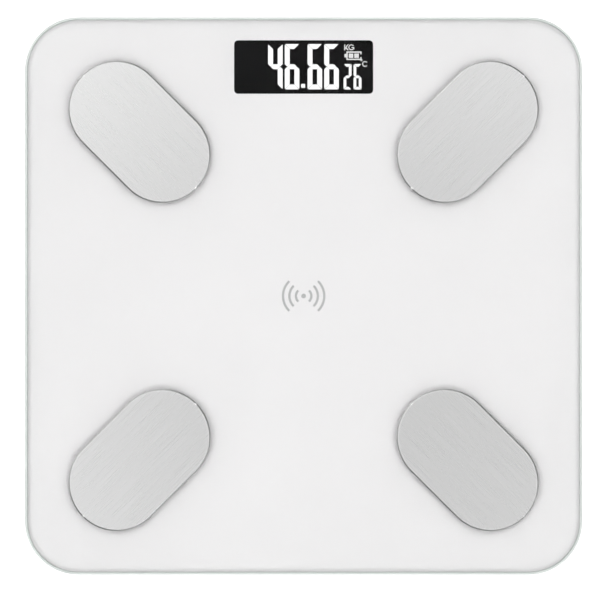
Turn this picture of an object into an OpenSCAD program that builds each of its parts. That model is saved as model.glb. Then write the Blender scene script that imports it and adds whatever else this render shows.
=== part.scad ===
// A square glass bathroom scale with four foot electrodes and a lit display.
// The origin is on the standing surface under the middle of the platform.
// +Z is up and +Y points toward the display, away from the user.

/* [Platform] */
// Side of the square glass platform
platform_w = 260; // [250:1:320]
// Thickness of the toughened glass
glass_t = 5; // [4:0.5:8]
// Corner radius of the platform
corner_r = 25; // [23:1:40]
// Width and height of the polished bevel round the glass
glass_bevel = 0.9; // [0.4:0.1:1.5]
// Thickness of the print on the back of the glass
print_t = 0.2; // [0.1:0.05:0.4]
// Depth of the pictogram's ink in the print
icon_t = 0.1; // [0.05:0.05:0.1]
// Thickness of the tape between the glass and the housing
tape_t = 0.8; // [0.5:0.1:1.5]

/* [Electrodes] */
// Length of one electrode
electrode_l = 75; // [60:1:80]
// Width of one electrode
electrode_w = 45; // [36:1:50]
// Thickness of the stainless sheet
electrode_t = 0.8; // [0.7:0.1:1.5]
// Width of the bevelled rim of an electrode
rim_run = 0.75; // [0.4:0.05:1.2]
// Drop of the bevelled rim of an electrode
rim_drop = 0.55; // [0.3:0.05:0.6]
// From the platform's edge to the middle of an electrode
electrode_inset = 53.5; // [50:0.5:60]
// Thickness of the adhesive under an electrode
adhesive_t = 0.15; // [0.1:0.05:0.3]
// Radius of the contact stud through the glass
stud_r = 1.5; // [1:0.1:2]
// From the middle of an electrode inward to its stud
stud_offset = 12; // [8:0.5:15]
// Length of the stud below the back of the print
stud_tail = 2.4; // [2.2:0.1:2.5]
// Radial room round the stud in the glass
stud_room = 1; // [0.5:0.1:1.5]

/* [Display] */
// Width of the display window
window_w = 65; // [60:1:70]
// Depth of the display window
window_d = 25; // [24:0.5:27]
// Corner radius of the display window
window_r = 1.9; // [0.5:0.1:3]
// Gap between the display module and the housing's rim
display_gap = 0.3; // [0.3:0.1:2]
// Height of the display module
display_h = 6.3; // [5.5:0.1:6.8]
// Width of the display module's border round the window
display_border = 2; // [1:0.1:2]
// Thickness of the foam seal round the window
seal_t = 0.5; // [0.3:0.1:0.8]
// Height of a large digit
digit_h = 21.2; // [18:0.2:22]
// Width of a large digit
digit_w = 6.8; // [6:0.1:7.2]
// Stroke of a large digit
digit_stroke = 2.3; // [1.5:0.1:2.4]
// Step from one large digit to the next
digit_pitch = 7.8; // [7.5:0.1:8]
// From the right side of the window to the middle of the first large digit
digit_inset = 45.7; // [45:0.1:47.5]
// Extra step where the decimal point stands
point_room = 2.85; // [2.7:0.05:3]
// Side of the decimal point
point_w = 1.8; // [1.5:0.1:2]
// Height of a small digit
small_h = 11.9; // [10:0.1:12]
// Width of a small digit
small_w = 3.7; // [3.4:0.1:4.2]
// Stroke of a small digit
small_stroke = 1.25; // [0.8:0.05:1.3]
// Depth of the diffusers that fill the display's openings
diffuser_t = 0.8; // [0.4:0.1:1.2]

/* [Housing] */
// From the platform's edge to the housing's side
housing_inset = 5; // [4:0.5:6]
// Thickness of the housing's sides
wall = 2; // [1.6:0.1:2.5]
// Thickness of the housing's floor
floor_t = 2; // [1.8:0.1:2.4]
// Height of the housing's underside above the standing surface
base_gap = 4; // [3:0.1:6]
// Size of the bevel round the housing's underside
base_bevel = 2; // [1:0.1:2.2]
// Width of the rim that carries the tape
rim_w = 3.2; // [2.8:0.1:3.4]
// Depth of that rim
rim_h = 3; // [2:0.1:4]
// Thickness of the ribs
rib_t = 1.6; // [1.2:0.1:2]
// Height of the ribs above the floor
rib_h = 6; // [4:0.1:7]
// Radius of the posts that prop the glass
post_r = 5; // [4:0.1:6]

/* [Feet] */
// Ring of the foot cap that shows round its rubber pad
pad_margin = 0.7; // [0.6:0.1:2]
// Thickness of a rubber pad
pad_t = 2.5; // [1.8:0.1:3]
// Depth of the recess that holds a pad in its cap
pad_seat = 0.9; // [0.5:0.1:1.2]
// Radial room round a foot cap in the housing's floor
foot_room = 0.4; // [0.3:0.05:0.6]
// Overhang of the flange that keeps a foot cap in
flange_w = 1; // [0.8:0.1:1.2]
// Thickness of that flange
flange_t = 1.5; // [1:0.1:1.8]
// How far a load cell gives under full load
foot_travel = 0.5; // [0.3:0.05:0.6]
// Radius of the boss that presses on the load cell
press_r = 4; // [3:0.1:5]

/* [Load cells] */
// Side of a load cell
sensor_w = 34; // [32:0.5:35]
// Thickness of a load cell
sensor_t = 1.6; // [1.2:0.1:2]
// Width of a load cell's middle tongue
tongue_w = 13; // [11:0.5:14]
// Room between a foot cap's flange and the load cell at full load
flange_room = 2.2; // [1.2:0.1:2.3]
// Radius of the pillars under a load cell
pillar_r = 2.2; // [1.8:0.1:2.4]
// Thickness of the retainer over a load cell
retainer_t = 1.6; // [1.2:0.1:2]
// From the side of a load cell to a retainer screw
retainer_reach = 5.5; // [4.8:0.1:7]
// Half width of a retainer's ears
ear_r = 3.4; // [3:0.1:4]
// Radius of the screw bosses
boss_r = 2.8; // [2.4:0.1:3]
// Gap between a retainer's outer ear and the housing's side
corner_gap = 2.1; // [0.5:0.1:4]
// Gap between a foot cap's flange and the pillars
pillar_gap = 1.1; // [0.6:0.1:2]

/* [Batteries] */
// Radius of one cell
battery_r = 5.25; // [5:0.05:5.3]
// Length of one cell with its positive nub
battery_l = 44.5; // [42:0.5:46]
// Number of cells
battery_count = 3; // [2:1:3]
// Gap between neighbouring cells, and beside the first and the last
battery_gap = 0.7; // [0.3:0.1:1]
// Room for the contacts, both ends together
contact_room = 7.5; // [7:0.1:9]
// Thickness of the battery door
door_t = 1.6; // [1.4:0.1:1.8]
// Gap round the battery door
door_gap = 0.4; // [0.3:0.05:0.6]
// Wall of the battery bay
bay_wall = 1.6; // [1.2:0.1:2]
// Roof of the battery bay
bay_roof = 1.3; // [1:0.1:1.6]

/* [Board] */
// From the side of the display module to the side of the main board
board_margin = 7.5; // [7:0.1:10]
// Depth of the main board
board_d = 51.5; // [50:0.5:54]
// Thickness of the main board
board_t = 1.6; // [1:0.1:1.6]
// Wiring channel between the battery bay and the main board
wire_channel = 11; // [9:0.5:13]
// From the board's side edge to its screws
board_screw_inset = 3.4; // [3:0.1:3.6]

/* [Button] */
// Radius of the unit button
button_r = 5; // [4:0.1:5.2]
// Travel of the unit button
button_travel = 0.5; // [0.3:0.05:0.6]
// Side of the tactile switch
switch_w = 6; // [5:0.1:6.5]
// Height of the tactile switch
switch_h = 2.6; // [2.4:0.1:2.7]
// Radius of the switch's plunger
plunger_r = 1.7; // [1.2:0.1:1.8]

/* [Hidden] */
$fn = 96;
CORNERS = [
    ["front_left", -1, -1],
    ["front_right", 1, -1],
    ["rear_left", -1, 1],
    ["rear_right", 1, 1],
];
corner_parts = ["electrode", "load_cell", "retainer", "foot_cap", "foot_pad"];
single_parts = [
    "glass_platform", "back_print", "wireless_icon", "display_filter",
    "electrode_adhesive", "contact_studs", "contact_nuts", "contact_terminals",
    "rim_tape", "prop_tape", "bottom_housing", "strain_gauges", "retainer_screws",
    "main_board", "controller_chip", "amplifier_chip", "wireless_module",
    "small_components", "wire_connectors", "display_frame", "large_digits",
    "small_digits", "display_symbols", "display_seal", "display_pins",
    "board_screws", "tactile_switch", "switch_plunger", "unit_button",
    "battery_door", "battery_springs", "battery_plates", "battery_wires",
    "sensor_wires", "electrode_wires", "rating_label",
];
battery_parts = [for (i = [1:battery_count]) str("battery_", i)];

// Room between a fixed face and one that comes toward it
still_gap = 0.3;
// Room between a screw and its pilot hole
pilot_room = 0.05;
// How far ribs and walls sink into what they stand on
embed = 0.5;
// Room between the battery door and the cells, and above the cells
battery_drop = 0.5;
battery_headroom = 0.4;
// From a contact stud to the rib beside it
rib_offset = 10;
// From the board's front edge to the button, the chips and the front screws
button_offset = 14;
chip_offset = 15;
board_screw_offset = 12;

// Wires
wire_r = 0.5;
wire_pitch = 1.1;
electrode_wire_r = 0.45;
// Number of sides of a wire where it is drawn with flats
wire_sides = 12;
// Room between crossing wires, and between a wire and what it passes over
wire_gap = 0.2;
wire_rise = 0.7;

// Heights
floor_z = base_gap + floor_t;
flange_z = floor_z + still_gap;
sensor_z = flange_z + flange_t + foot_travel + flange_room;
sensor_top = sensor_z + sensor_t;
retainer_top = sensor_top + retainer_t;
wire_end_z = retainer_top + wire_rise + wire_pitch;
wires_top = wire_end_z + wire_pitch + wire_r;
battery_z = base_gap + door_t + battery_drop + battery_r;
// The rim clears both the cells and the wires that cross over one another
rim_z = max(battery_z + battery_r + battery_headroom + bay_roof,
            wires_top + wire_gap + 2 * electrode_wire_r + 0.1);
bay_top = rim_z - bay_roof;
electrode_cable_z = rim_z - 0.1 - electrode_wire_r;
print_z = rim_z + tape_t;
glass_z = print_z + print_t;
glass_top = glass_z + glass_t;
electrode_z = glass_top + adhesive_t;
board_top = print_z - seal_t - display_h;
board_z = board_top - board_t;

// Plan
housing_w = platform_w - 2 * housing_inset;
housing_r = corner_r - housing_inset;
inner_w = housing_w - 2 * wall;
electrode_at = platform_w / 2 - electrode_inset;
stud_at = electrode_at - stud_offset * cos(45);
ear_at = sensor_w / 2 + retainer_reach;
foot_at = inner_w / 2 - corner_gap - ear_r - ear_at;
pillar_at = sensor_w / 2 - pillar_r;
flange_r = pillar_at * sqrt(2) - pillar_r - pillar_gap;
foot_hole_r = flange_r - flange_w;
foot_r = foot_hole_r - foot_room;
pad_r = foot_r - pad_margin;
display_w = window_w + 2 * display_border;
display_d = window_d + 2 * display_border;
window_y = housing_w / 2 - rim_w - display_gap - display_d / 2;
display_top = board_top + display_h;
board_w = display_w + 2 * board_margin;
board_y = window_y + display_d / 2 - board_d / 2;
board_front = board_y - board_d / 2;
board_screw_x = board_w / 2 - board_screw_inset;
battery_pitch = 2 * battery_r + battery_gap;
bay_w = battery_l + contact_room;
bay_d = battery_count * battery_pitch + 2 * battery_gap;
bay_y = board_front - wire_channel - bay_wall - bay_d / 2;
bay_front = bay_y - bay_d / 2;
rib_x = stud_at - rib_offset;
button_y = board_front + button_offset;
chip_y = board_front + chip_offset;
button_hole_r = button_r + door_gap;

// Screws
screw_r = 1.05;
screw_head_r = 2.3;
screw_head_h = 1.3;
screw_l = 5.2;

// Connectors, each one's wires at mid height
connector_depth = 6;
connector_h = 2 * (wire_end_z - board_top);
connector_y = board_front + 1 + connector_depth / 2;
wire_end_y = connector_y - connector_depth / 2 + 1.9;
lead_in_y = wire_end_y - 3.5;
rear_cable_x = board_w / 2 - 8;
front_cable_x = rear_cable_x - 8.5;
pin_step = 2;
electrode_connector_x = 8;

// ---- Shared shapes ----

// Half of a slab's cross-section: r out from its inner edge, t high, with bevels [run, drop]
module edge_profile(r, t, top, bottom) {
    low = bottom[0] > 0 ? [[r - bottom[0], 0], [r, bottom[1]]] : [[r, 0]];
    high = top[0] > 0 ? [[r, t - top[1]], [r - top[0], t]] : [[r, t]];
    polygon(concat([[0, 0]], low, high, [[0, t]]));
}

// A slab w by d by t with corner radius r and bevelled edges
module slab(w, d, t, r, top = [0, 0], bottom = [0, 0]) {
    span = [w - 2 * r, d - 2 * r];
    if (span[0] > 0 && span[1] > 0)
        translate([-span[0] / 2, -span[1] / 2, 0]) cube([span[0], span[1], t]);
    for (turn = [0:3]) {
        out = span[turn % 2] / 2;
        along = span[(turn + 1) % 2];
        rotate(90 * turn) {
            if (along > 0)
                translate([out, 0, 0]) rotate([90, 0, 0])
                    linear_extrude(along, center = true) edge_profile(r, t, top, bottom);
            translate([out, along / 2, 0])
                rotate_extrude(angle = 90) edge_profile(r, t, top, bottom);
        }
    }
}

// A flat outline with round corners
module rounded_outline(w, d, r) {
    square([w - 2 * r, d], center = true);
    if (d > 2 * r)
        square([w, d - 2 * r], center = true);
    for (x = [-1, 1])
        for (y = [-1, 1])
            translate([x * (w / 2 - r), y * (d / 2 - r)]) circle(r);
}

// Children are drawn for the rear right corner, and land at the named distance in any corner
module at_corner(corner, distance) {
    translate([corner[1] * distance, corner[2] * distance, 0])
        mirror([corner[1] < 0 ? 1 : 0, 0, 0])
            mirror([0, corner[2] < 0 ? 1 : 0, 0])
                children();
}

module at_every_corner(distance) {
    for (corner = CORNERS)
        at_corner(corner, distance) children();
}

module ring(outer_r, inner_r, h) {
    difference() {
        cylinder(h = h, r = outer_r);
        translate([0, 0, -1]) cylinder(h = h + 2, r = inner_r);
    }
}

// A pan-head screw whose head sits on z = 0, with a cross recess
module screw(r, l, head_r, head_h) {
    difference() {
        union() {
            cylinder(h = head_h * 0.6, r = head_r);
            translate([0, 0, head_h * 0.6])
                cylinder(h = head_h * 0.4, r1 = head_r, r2 = head_r * 0.7);
            translate([0, 0, -l]) cylinder(h = l + 0.1, r = r);
        }
        for (turn = [0, 90])
            rotate(turn) translate([-head_r * 0.5, -0.25, head_h - 0.7])
                cube([head_r, 0.5, 1]);
    }
}

// A round wire along straight stretches, with a ball at every bend
module wire(points, r) {
    for (i = [0:len(points) - 2]) {
        run = points[i + 1] - points[i];
        flat = norm([run[0], run[1]]);
        translate(points[i])
            rotate([0, atan2(flat, run[2]), atan2(run[1], run[0])])
                cylinder(h = norm(run), r = r, $fn = wire_sides);
        if (i > 0)
            translate(points[i]) sphere(r, $fn = wire_sides);
    }
}

// A wire swept round a vertical helix, with eight sides
module helix(r, wire_r, height, turns) {
    sides = 8;
    steps = 12 * turns;
    rings = [for (i = [0:steps])
        let (a = 30 * i, z = height * i / steps)
        [for (s = [0:sides - 1])
            let (b = 360 * s / sides, out = r + wire_r * cos(b))
            [out * cos(a), out * sin(a), z + wire_r * sin(b)]]];
    points = [for (one = rings) each one];
    skin = [for (i = [0:steps - 1]) for (s = [0:sides - 1])
        let (n = (s + 1) % sides)
        each [[i * sides + s, i * sides + n, (i + 1) * sides + n],
              [i * sides + s, (i + 1) * sides + n, (i + 1) * sides + s]]];
    ends = [[for (s = [sides - 1:-1:0]) s], [for (s = [0:sides - 1]) steps * sides + s]];
    polyhedron(points = points, faces = concat(skin, ends), convexity = 10);
}

// ---- Platform ----

module stud_holes(r, h) {
    at_every_corner(stud_at) cylinder(h = h, r = r);
}

module glass_platform() {
    color("#eef2f0", 0.5)
        difference() {
            translate([0, 0, glass_z])
                slab(platform_w, platform_w, glass_t, corner_r,
                     top = [glass_bevel, glass_bevel], bottom = [glass_bevel, glass_bevel]);
            translate([0, 0, glass_z - 1]) stud_holes(stud_r + stud_room, glass_t + 2);
        }
}

// Room between the edge of the print and the bevel of the glass
print_margin = 0.3;

module back_print() {
    side = platform_w - 2 * (glass_bevel + print_margin);
    color("#efefef")
        difference() {
            translate([0, 0, print_z]) linear_extrude(print_t)
                rounded_outline(side, side, corner_r - glass_bevel - print_margin);
            translate([0, window_y, print_z - 1]) linear_extrude(print_t + 2)
                rounded_outline(window_w, window_d, window_r);
            translate([0, 0, print_z - 1]) stud_holes(stud_r + stud_room, print_t + 2);
            translate([0, 0, glass_z - icon_t]) linear_extrude(1) wireless_outline();
        }
}

// Radii of the arcs and the dot of the pictogram, and the width and half angle of an arc
arc_radii = [3.6, 6.65, 9.65];
arc_w = 1.1;
arc_half_angle = 46;
dot_r = 1.1;

module wireless_outline() {
    reach = arc_radii[2] * 2;
    circle(dot_r);
    for (r = arc_radii)
        for (side = [-1, 1])
            intersection() {
                difference() {
                    circle(r + arc_w / 2);
                    circle(r - arc_w / 2);
                }
                polygon([[0, 0],
                         [side * reach * cos(arc_half_angle), -reach * sin(arc_half_angle)],
                         [side * reach * cos(arc_half_angle), reach * sin(arc_half_angle)]]);
            }
}

module wireless_icon() {
    color("#bfbfbf")
        translate([0, 0, glass_z - icon_t]) linear_extrude(icon_t) wireless_outline();
}

module display_filter() {
    color("#1f1f1f")
        translate([0, window_y, print_z]) linear_extrude(print_t)
            rounded_outline(window_w, window_d, window_r);
}

// ---- Electrodes and their contacts ----

module electrode() {
    color("#d6d6d6")
        translate([0, 0, electrode_z]) rotate(45)
            slab(electrode_l, electrode_w, electrode_t, electrode_w / 2,
                 top = [rim_run, rim_drop]);
}

// The adhesive stops this far inside the electrode's edge
adhesive_margin = 0.5;

module electrode_adhesive() {
    side = 2 * adhesive_margin;
    color("#e8e8e0")
        difference() {
            at_every_corner(electrode_at)
                translate([0, 0, glass_top]) rotate(45)
                    slab(electrode_l - side, electrode_w - side, adhesive_t,
                         electrode_w / 2 - adhesive_margin);
            translate([0, 0, glass_top - 1]) stud_holes(stud_r + stud_room, adhesive_t + 2);
        }
}

module contact_studs() {
    tail_z = print_z - stud_tail;
    color("#b9a66a")
        at_every_corner(stud_at)
            translate([0, 0, tail_z]) cylinder(h = electrode_z - tail_z, r = stud_r);
}

terminal_t = 0.5;
terminal_r = 3.4;
nut_h = 1.4;
nut_r = 3;

module contact_terminals() {
    color("#c9c9c4")
        at_every_corner(stud_at)
            translate([0, 0, print_z - terminal_t])
                difference() {
                    union() {
                        cylinder(h = terminal_t, r = terminal_r);
                        translate([-terminal_r - 3, -1, 0]) cube([terminal_r + 3, 2, terminal_t]);
                    }
                    translate([0, 0, -1]) cylinder(h = terminal_t + 2, r = stud_r);
                }
}

module contact_nuts() {
    color("#c4c4c0")
        at_every_corner(stud_at)
            translate([0, 0, print_z - terminal_t - nut_h])
                difference() {
                    cylinder(h = nut_h, r = nut_r, $fn = 6);
                    translate([0, 0, -1]) cylinder(h = nut_h + 2, r = stud_r);
                }
}

// ---- Tape ----

// The rim tape stops this far inside the housing's outer edge, and is this wide
tape_margin = 0.4;
tape_w = 2.4;

module rim_tape() {
    outer = housing_w - 2 * tape_margin;
    inner = outer - 2 * tape_w;
    color("#2b2b2b")
        translate([0, 0, rim_z]) linear_extrude(tape_t)
            difference() {
                rounded_outline(outer, outer, housing_r - tape_margin);
                rounded_outline(inner, inner, housing_r - tape_margin - tape_w);
            }
}

// Places of the posts that prop the glass: where the ribs cross
post_places = [for (x = [-rib_x, 0, rib_x]) for (y = [-rib_x, 0]) [x, y]];

module prop_tape() {
    color("#2b2b2b")
        translate([0, 0, rim_z]) {
            for (place = post_places)
                translate(place) cylinder(h = tape_t, r = post_r - 0.5);
            for (y = [-1, 1])
                translate([0, bay_y + y * bay_d / 4, 0]) linear_extrude(tape_t)
                    rounded_outline(bay_w - 6, 10, 1);
        }
}

// ---- Housing ----

module housing_shell() {
    difference() {
        translate([0, 0, base_gap])
            slab(housing_w, housing_w, rim_z - base_gap, housing_r,
                 bottom = [base_bevel, base_bevel]);
        translate([0, 0, floor_z])
            slab(inner_w, inner_w, rim_z - rim_h - floor_z, housing_r - wall);
        translate([0, 0, rim_z - rim_h - 1])
            slab(housing_w - 2 * rim_w, housing_w - 2 * rim_w, rim_h + 2, housing_r - rim_w);
    }
}

module housing_ribs() {
    length = inner_w + 2 * embed;
    for (x = [-rib_x, rib_x])
        translate([x - rib_t / 2, -length / 2, floor_z - embed])
            cube([rib_t, length, rib_h + embed]);
    translate([-rib_t / 2, -length / 2, floor_z - embed])
        cube([rib_t, bay_front - bay_wall + length / 2 + embed, rib_h + embed]);
    for (y = [-rib_x, 0])
        translate([-length / 2, y - rib_t / 2, floor_z - embed])
            cube([length, rib_t, rib_h + embed]);
    for (place = post_places)
        translate([place[0], place[1], floor_z - embed])
            cylinder(h = rim_z - floor_z + embed, r = post_r);
}

module sensor_seats() {
    at_every_corner(foot_at) {
        for (x = [-1, 1])
            for (y = [-1, 1])
                translate([x * pillar_at, y * pillar_at, floor_z - embed])
                    cylinder(h = sensor_z - floor_z + embed, r = pillar_r);
        for (x = [-1, 1])
            translate([x * ear_at, 0, floor_z - embed])
                cylinder(h = sensor_top - floor_z + embed, r = boss_r);
    }
}

module board_bosses() {
    for (place = board_screw_places)
        translate([place[0], place[1], floor_z - embed])
            cylinder(h = board_z - floor_z + embed, r = boss_r);
}

board_screw_places = [for (x = [-1, 1])
    for (y = [board_front + board_screw_offset, board_y + board_d / 2 - 4])
        [x * board_screw_x, y]];

module bay_walls() {
    translate([-bay_w / 2 - bay_wall, bay_y - bay_d / 2 - bay_wall, floor_z - embed])
        cube([bay_w + 2 * bay_wall, bay_d + 2 * bay_wall, rim_z - floor_z + embed]);
}

// Middles, width and height of the slots that take the door's tabs
tab_x = 15;
tab_w = 7;
tab_reach = 2;
tab_t = 1.2;

// Hole for the battery wires in the bay's rear wall
bay_exit_x = -8.5;
bay_exit_w = 7;
bay_exit_h = 2.4;

module housing_openings() {
    at_every_corner(foot_at) {
        translate([0, 0, base_gap - 1]) cylinder(h = floor_t + 2, r = foot_hole_r);
        for (x = [-1, 1])
            translate([x * ear_at, 0, floor_z])
                cylinder(h = sensor_top, r = screw_r + pilot_room);
    }
    for (place = board_screw_places)
        translate([place[0], place[1], floor_z - 0.6])
            cylinder(h = board_z, r = screw_r + pilot_room);
    translate([-bay_w / 2, bay_y - bay_d / 2, base_gap - 1])
        cube([bay_w, bay_d, bay_top - base_gap + 1]);
    for (x = [-1, 1])
        translate([x * tab_x - tab_w / 2 - still_gap, bay_front - bay_wall - 1.5, floor_z])
            cube([tab_w + 2 * still_gap, bay_wall + 2, 3]);
    translate([bay_exit_x - bay_exit_w / 2, bay_y + bay_d / 2 - 1, wire_end_z - bay_exit_h / 2])
        cube([bay_exit_w, bay_wall + 2, bay_exit_h]);
    translate([0, button_y, base_gap - 1]) cylinder(h = floor_t + 2, r = button_hole_r);
    translate([0, button_y, base_gap - 1]) cylinder(h = 1.6, r = button_r + 4);
}

module bottom_housing() {
    color("#f2f2f0")
        difference() {
            union() {
                housing_shell();
                housing_ribs();
                sensor_seats();
                board_bosses();
                bay_walls();
            }
            housing_openings();
        }
}

module rating_label() {
    color("#d9dcdd")
        translate([0, -rib_x, base_gap - 0.1]) linear_extrude(0.1)
            rounded_outline(60, 30, 2);
}

// ---- Load cells ----

// Clearance between the tongue and the frame of a load cell
slot_w = 2.5;
// From the middle of a load cell to the root of its tongue
tongue_root = 9;

module load_cell() {
    color("#b8bcc0")
        translate([0, 0, sensor_z]) linear_extrude(sensor_t)
            difference() {
                rounded_outline(sensor_w, sensor_w, 2);
                difference() {
                    translate([-tongue_w / 2 - slot_w, -tongue_root])
                        square([tongue_w + 2 * slot_w, 2 * tongue_root + slot_w]);
                    translate([-tongue_w / 2, -tongue_root - 1])
                        square([tongue_w, 2 * tongue_root + 1]);
                }
            }
}

gauge_t = 0.5;

module strain_gauges() {
    color("#f4f4f4")
        at_every_corner(foot_at)
            translate([-3.5, 0.5 - tongue_root, sensor_top]) cube([7, 4.5, gauge_t]);
}

// Room between a load cell's edges and the retainer's skirts
skirt_gap = 0.1;
skirt_t = 1.5;

module retainer() {
    skirt_y = sensor_w / 2 + skirt_gap;
    side = sensor_w + 2 * (skirt_gap + skirt_t);
    color("#e6e6e2")
        difference() {
            union() {
                translate([0, 0, sensor_top]) linear_extrude(retainer_t) {
                    rounded_outline(sensor_w + 2, side, 2);
                    rounded_outline(2 * (ear_at + ear_r), 2 * ear_r, ear_r);
                }
                for (y = [-1, 1])
                    translate([-10, y > 0 ? skirt_y : -skirt_y - skirt_t, sensor_z])
                        cube([20, skirt_t, sensor_t + embed]);
            }
            translate([0, 0, sensor_top - 1]) linear_extrude(retainer_t + 2)
                rounded_outline(tongue_w + 2 * slot_w + 4, 2 * tongue_root + 9, 2);
            for (x = [-1, 1])
                translate([x * ear_at, 0, sensor_top - 1])
                    cylinder(h = retainer_t + 2, r = screw_r + 0.3);
        }
}

module retainer_screws() {
    color("#a9adb0")
        at_every_corner(foot_at)
            for (x = [-1, 1])
                translate([x * ear_at, 0, retainer_top])
                    screw(screw_r, screw_l, screw_head_r, screw_head_h);
}

// ---- Feet ----

module foot_cap() {
    cap_z = pad_t - pad_seat;
    color("#ececea")
        difference() {
            union() {
                translate([0, 0, cap_z]) rotate_extrude()
                    edge_profile(foot_r, flange_z - cap_z, [0, 0], [0.5, 0.5]);
                translate([0, 0, flange_z]) cylinder(h = flange_t, r = flange_r);
                translate([0, 0, flange_z]) cylinder(h = sensor_z - flange_z, r = press_r);
            }
            translate([0, 0, cap_z - 1]) cylinder(h = pad_seat + 1, r = pad_r + pilot_room);
            translate([0, 0, flange_z + flange_t - 3])
                ring(foot_r - 2, press_r + 2, 4);
        }
}

// Grooves in the tread of a pad, and the bevel round it
groove_radii = [for (r = [6:3:pad_r - 2]) r];
groove_w = 0.9;
groove_depth = 0.5;

module foot_pad() {
    color("#5c5f61")
        difference() {
            rotate_extrude() edge_profile(pad_r, pad_t, [0, 0], [0.6, 0.6]);
            for (r = groove_radii)
                translate([0, 0, -1]) ring(r + groove_w / 2, r - groove_w / 2, 1 + groove_depth);
        }
}

// ---- Board ----

module main_board() {
    color("#2e6b45")
        difference() {
            translate([0, board_y, board_z]) linear_extrude(board_t)
                rounded_outline(board_w, board_d, 1.5);
            for (place = board_screw_places)
                translate([place[0], place[1], board_z - 1])
                    cylinder(h = board_t + 2, r = screw_r + 0.25);
            for (place = pin_places)
                translate([place[0], place[1], board_z - 1])
                    cylinder(h = board_t + 2, r = pin_r + pilot_room);
        }
}

// A flat chip with gull-wing legs along two sides
module chip(w, d, h, legs) {
    translate([-w / 2, -d / 2, 0.15]) cube([w, d, h - 0.15]);
    for (side = [-1, 1])
        for (i = [0:legs - 1])
            translate([side * (w / 2 + 0.35) - 0.5, (i - (legs - 1) / 2) * 1.27 - 0.2, 0])
                cube([1, 0.4, 0.3]);
}

module controller_chip() {
    color("#262626") translate([-7, chip_y, board_top]) chip(7.5, 12.6, 2.2, 9);
}

module amplifier_chip() {
    color("#262626") translate([10, chip_y - 1.5, board_top]) chip(4, 9.8, 1.7, 7);
}

module wireless_module() {
    color("#25507a")
        translate([board_w / 2 - 15, chip_y, board_top]) {
            translate([-8, -6, 0]) cube([16, 12, 0.8]);
            translate([-7, -5, 0.8]) cube([10, 10, 1.4]);
            for (i = [0:3])
                translate([3.6 + i * 1.1, -4.5, 0.8]) cube([0.5, 9, 0.1]);
        }
}

// Two electrolytic capacitors, a crystal and a row of chip resistors
module small_components() {
    color("#8f8a7c") {
        for (inset = [8, 15])
            translate([inset - board_w / 2, chip_y + 2, board_top]) cylinder(h = 5, r = 2.5);
        translate([22 - board_w / 2, chip_y, board_top]) slab(4.5, 11, 3, 2.2);
        for (i = [0:4])
            translate([-1 + i * 1.7, chip_y + 5, board_top]) cube([0.9, 1.6, 0.5]);
    }
}

// Each connector's middle and its number of wires
connector_places = concat(
    [for (side = [-1, 1]) each [[side * rear_cable_x, 3], [side * front_cable_x, 3]]],
    [[bay_exit_x, 2], [electrode_connector_x, 4]]
);

module wire_connectors() {
    color("#efece0")
        for (place = connector_places) {
            w = pin_step * place[1] + 1.6;
            translate([place[0], connector_y, board_top])
                difference() {
                    translate([-w / 2, -connector_depth / 2, 0])
                        cube([w, connector_depth, connector_h]);
                    translate([-w / 2 + 0.6, -connector_depth / 2 - 1, 0.7])
                        cube([w - 1.2, 3, connector_h - 1.4]);
                }
        }
}

module board_screws() {
    color("#a9adb0")
        for (place = board_screw_places)
            translate([place[0], place[1], board_top])
                screw(screw_r, screw_l, screw_head_r - 0.1, screw_head_h);
}

// ---- Display ----

// Half of the gap between neighbouring bars of a digit, and the cut at a digit's corners
bar_gap = 0.08;
corner_cut = 0.35;

// Half of a digit's bars are these outlines, and the rest are their mirror images.
// Each is an upright digit w by h with stroke s, its lower left corner at the origin.
module top_bar(w, h, s) {
    g = bar_gap;
    c = corner_cut;
    polygon([[c / 2 + g, h - c / 2 + g], [c + g, h], [w - c - g, h], [w - c / 2 - g, h - c / 2 + g],
             [w - s - g, h - s], [s + g, h - s]]);
}

module middle_bar(w, h, s) {
    tip = s / 2 + bar_gap;
    end = s + bar_gap;
    polygon([[tip, h / 2], [end, h / 2 + s / 2], [w - end, h / 2 + s / 2], [w - tip, h / 2],
             [w - end, h / 2 - s / 2], [end, h / 2 - s / 2]]);
}

module upper_left_bar(h, s) {
    g = bar_gap;
    c = corner_cut;
    polygon([[0, h - c - g], [c / 2 - g, h - c / 2 - g], [s, h - s - g], [s, h / 2 + s / 2 + g],
             [s / 2, h / 2 + g], [0, h / 2 + s / 2 + g]]);
}

// Which bars are lit: top, upper left, upper right, middle, lower left, lower right, bottom
function bars_of(digit) =
    digit == 2 ? [1, 0, 1, 1, 1, 0, 1] :
    digit == 4 ? [0, 1, 1, 1, 0, 1, 0] :
    digit == 6 ? [1, 1, 0, 1, 1, 1, 1] : [1, 1, 1, 1, 1, 1, 1];

module digit_outline(digit, w, h, s) {
    lit = bars_of(digit);
    translate([-w / 2, -h / 2]) {
        if (lit[0]) top_bar(w, h, s);
        if (lit[1]) upper_left_bar(h, s);
        if (lit[2]) translate([w, 0]) mirror([1, 0]) upper_left_bar(h, s);
        if (lit[3]) middle_bar(w, h, s);
        if (lit[4]) translate([0, h]) mirror([0, 1]) upper_left_bar(h, s);
        if (lit[5]) translate([w, h]) rotate(180) upper_left_bar(h, s);
        if (lit[6]) translate([0, h]) mirror([0, 1]) top_bar(w, h, s);
    }
}

large_reading = [4, 6, 6, 6];
small_reading = [2, 6];

// The reading and its symbols keep their places from the right side of the window
right_x = window_w / 2;
digit_start = right_x - digit_inset;
small_x = right_x - 11.95;
small_pitch = 4.66;
small_y = -4.5;
large_y = 0.2;
point_rise = 0.75;

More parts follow.
